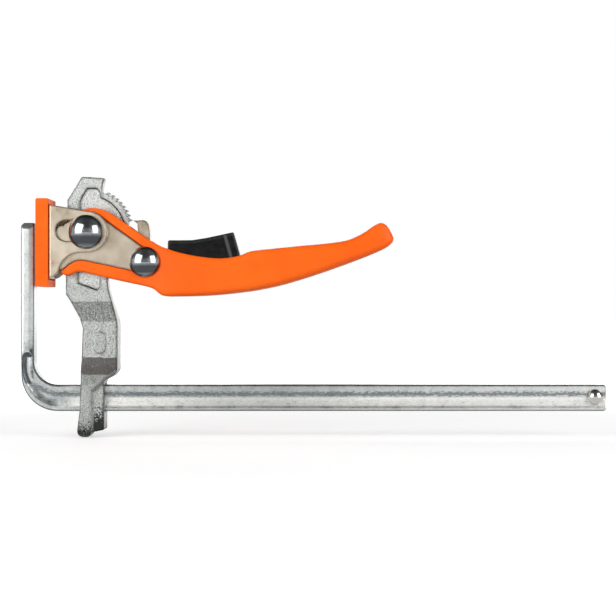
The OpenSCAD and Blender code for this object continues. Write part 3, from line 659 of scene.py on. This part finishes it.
def black_plastic():
    """Glossy black trigger with a faint moulded grain, a painted highlight along its edges and a painted highlight
    band along its leaning thumb end."""
    s = Shader("black_plastic")
    grain = s.spots(0.4 * MM)
    rub = s.noise(4 * MM, 4, 0.6)
    tone = s.mix(s.ramp(rub, 0.35, 0.7), (0.006, 0.006, 0.0065), (0.013, 0.013, 0.014))
    edges = s.ramp(s.flatness(2.2 * MM), 0.992, 0.96, 0, 0.9)
    # Painted highlight: paler along the edges
    tone = s.mix(edges, tone, (0.075, 0.082, 0.080))
    low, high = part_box("release_trigger")
    leaning = s.math("ADD", s.axis("X"), s.times(s.axis("Z"), THUMB_END_LEAN))
    thumb_end = high.x + THUMB_END_LEAN * low.z
    painted_highlight_stripe = s.times(s.ramp(s.squareness(), 0.6, 0.9, 0, 0.75),
                     s.band(leaning, thumb_end - 3.7 * MM, thumb_end - 2.3 * MM, 0.6 * MM))
    # Painted highlight: a pale band along the leaning thumb end
    tone = s.mix(painted_highlight_stripe, tone, (0.085, 0.095, 0.090))
    s.set(Base_Color=tone, Roughness=s.ramp(rub, 0.3, 0.7, 0.16, 0.28), Specular_IOR_Level=0.12,
          Coat_Weight=0.03, Coat_Roughness=0.1, Normal=s.bump(grain, 0.015 * MM, 0.35))
    return s.material


MATERIALS = {
    "zinc_steel": zinc_rail(),
    "forged_steel": forged_zinc(),
    "nickel_sheet": nickel_sheet(),
    "rivet_steel": polished_steel(),
    "plain_steel": plain_steel(),
    "spring_steel": spring_steel(),
    "orange_enamel": orange_enamel(),
    "orange_plastic": orange_plastic(),
    "black_plastic": black_plastic(),
}
SLOT_OF = {part["node"]: part["material_slot"] for part in record["subparts"]}
BODY_OF = {node: body for body, nodes in record["behaviour"]["bodies"].items() for node in nodes}


def coat(data, node):
    data.materials.clear()
    data.materials.append(MATERIALS[SLOT_OF[node]])


def dress(piece, node):
    """Lets a piece stand for a CAD node: its place, body and finish are the node's."""
    coat(piece.data, node)
    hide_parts(node)
    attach(piece, BODY_OF[node])


# ---- Pieces ----

def cast_skin(place):
    """Height of a forging's uneven skin, in metres."""
    broad = noise.noise(place / (7 * MM)) * 0.06
    pebbled = noise.noise(place / (1.6 * MM)) * 0.07
    return (broad + pebbled) * MM


# Node, voxel, rounds of smoothing, share of the faces that stays, and uneven skin
FORMS = (
    ("rail", 0.45 * MM, 4, 0.35, None),
    ("sliding_arm", 0.4 * MM, 3, 0.5, cast_skin),
    ("lever_handle", 0.5 * MM, 7, 0.35, None),
    ("clamping_pad", 0.4 * MM, 3, 0.4, None),
    ("pad_bracket", 0.3 * MM, 3, 0.35, None),
    ("cam_plate_front", 0.25 * MM, 2, 0.35, None),
    ("cam_plate_rear", 0.25 * MM, 2, 0.35, None),
    ("pawl", 0.3 * MM, 3, 0.4, None),
    ("release_trigger", 0.35 * MM, 3, 0.4, None),
)


def add_forms():
    for node, voxel, rounds, keep, roughen in FORMS:
        dress(softened(node, voxel, rounds, keep, roughen), node)


def add_rivets():
    rivets = (
        ("pivot_rivet", RIVET_SHANK_RADIUS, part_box("pivot_washer_rear")[1].y),
        ("lever_rivet", RIVET_SHANK_RADIUS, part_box("cam_plate_rear")[1].y),
        ("rail_stop_rivet", STOP_SHANK_RADIUS, RAIL_HALF_THICKNESS),
    )
    for node, shank, seat in rivets:
        dress(rivet(node, shank, seat), node)
    for node in ("pivot_washer_front", "pivot_washer_rear"):
        dress(washer(node, RIVET_SHANK_RADIUS), node)
    for node in ("shim_washer_front", "shim_washer_rear"):
        dress(washer(node, BUSH_RADIUS), node)


def add_spring():
    """The pawl's spring, on a mesh of its own. In the clamp it is pressed together as the trigger pushes the
    pawl's tail down; here it keeps one length.
    """
    coil = spring("pawl_spring", SPRING_WIRE_RADIUS, SPRING_TURNS)
    dress(coil, "pawl_spring")
    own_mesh(coil)


def dress_kept_nodes():
    """CAD nodes whose shape is right keep it and get their material."""
    for node in ("pivot_bush", "pawl_sleeve", "trigger_pin"):
        coat(frame["nodes"][node].data, node)


# ---- Studio ----

def add_floor():
    """A pale floor. Near the clamp the lamps light it, and further off its own glow takes over.
    The glow shows to the camera and in metal, and lights nothing else."""
    half = 6.0
    level = -0.2 * MM
    mesh = bpy.data.meshes.new("floor")
    corners = [(-half, -half, level), (half, -half, level), (half, half, level),
               (-half, half, level)]
    mesh.from_pydata(corners, [], [(0, 1, 2, 3)])
    floor = link("floor", mesh)
    s = Shader("floor")
    paper = s.mix(s.noise(0.4, 3), (0.54, 0.54, 0.54), (0.58, 0.58, 0.58))
    s.set(Base_Color=paper, Roughness=0.9, Specular_IOR_Level=0.1)
    camera_ray, mirrored = s.rays()
    glow = s.ramp(s.measured("LENGTH", s.place), 0.25, 1.0, 0.50, 1.0)
    s.set(Emission_Color=(1, 1, 1, 1),
          Emission_Strength=s.times(s.larger(camera_ray, mirrored), glow))
    mesh.materials.append(s.material)


def add_lamp(name, place, width, height, power):
    """A soft rectangular lamp that points at the middle of the clamp."""
    aim = Vector((0, 0, 0.08))
    data = bpy.data.lights.new(name, "AREA")
    data.shape = "RECTANGLE"
    data.size = width
    data.size_y = height
    data.energy = power
    lamp = bpy.data.objects.new(name, data)
    lamp.location = place
    lamp.rotation_euler = (aim - Vector(place)).to_track_quat("-Z", "Y").to_euler()
    bpy.context.scene.collection.objects.link(lamp)
    return lamp


def add_world():
    """A studio that is white to the eye, and whose backdrop is white in metal too. For the light
    on the clamp it is dim above and below, and bright towards the ends of the clamp, where its
    large diffusers hang."""
    world = bpy.data.worlds.new("studio")
    bpy.context.scene.world = world
    world.use_nodes = True
    w = Nodes(world.node_tree)

    def eased(value, low, high, start, end):
        return w.ramp(value, low, high, start, end, "SMOOTHSTEP")

    direction = w.node("ShaderNodeTexCoord").outputs["Generated"]
    x, y, z = w.node("ShaderNodeSeparateXYZ", Vector=direction).outputs
    walls = eased(w.math("ABSOLUTE", x), 0.10, 0.70, 0.34, 0.80)
    ceiling = eased(z, 0.22, 0.50, 1.0, 0.30)
    below = eased(z, -0.5, -0.05, 0.35, 1.0)
    ends = eased(y, -0.12, 0.10, 1.0, 0.34)
    front = w.times(walls, ceiling, below, ends)
    backdrop = eased(y, 0.78, 0.95, 0.0, 1.0)
    paper = w.times(backdrop, eased(z, 0.0, 0.5, 0.62, 0.80))
    camera_ray, mirrored = w.rays()
    seen = w.larger(camera_ray, w.times(mirrored, backdrop))
    background = world.node_tree.nodes["Background"]
    w.feed(background.inputs["Strength"], w.larger(w.larger(front, paper), seen))
    w.feed(background.inputs["Color"], (1, 1, 1, 1))


def add_lights():
    add_lamp("diffuser_left", (-0.80, -0.75, 0.45), 0.85, 1.0, 10.6)
    add_lamp("diffuser_right", (0.95, -0.70, 0.45), 0.75, 1.0, 9.6)
    add_lamp("diffuser_rear_left", (-0.50, 1.15, 0.45), 0.9, 0.9, 4)
    add_lamp("diffuser_rear_right", (0.50, 1.15, 0.45), 0.9, 0.9, 4)
    fill = add_lamp("fill_above", (0, 0.05, 1.3), 1.0, 0.5, 2.0)
    fill.visible_glossy = False


add_camera()
add_forms()
add_rivets()
add_spring()
dress_kept_nodes()
add_floor()
add_world()
add_lights()
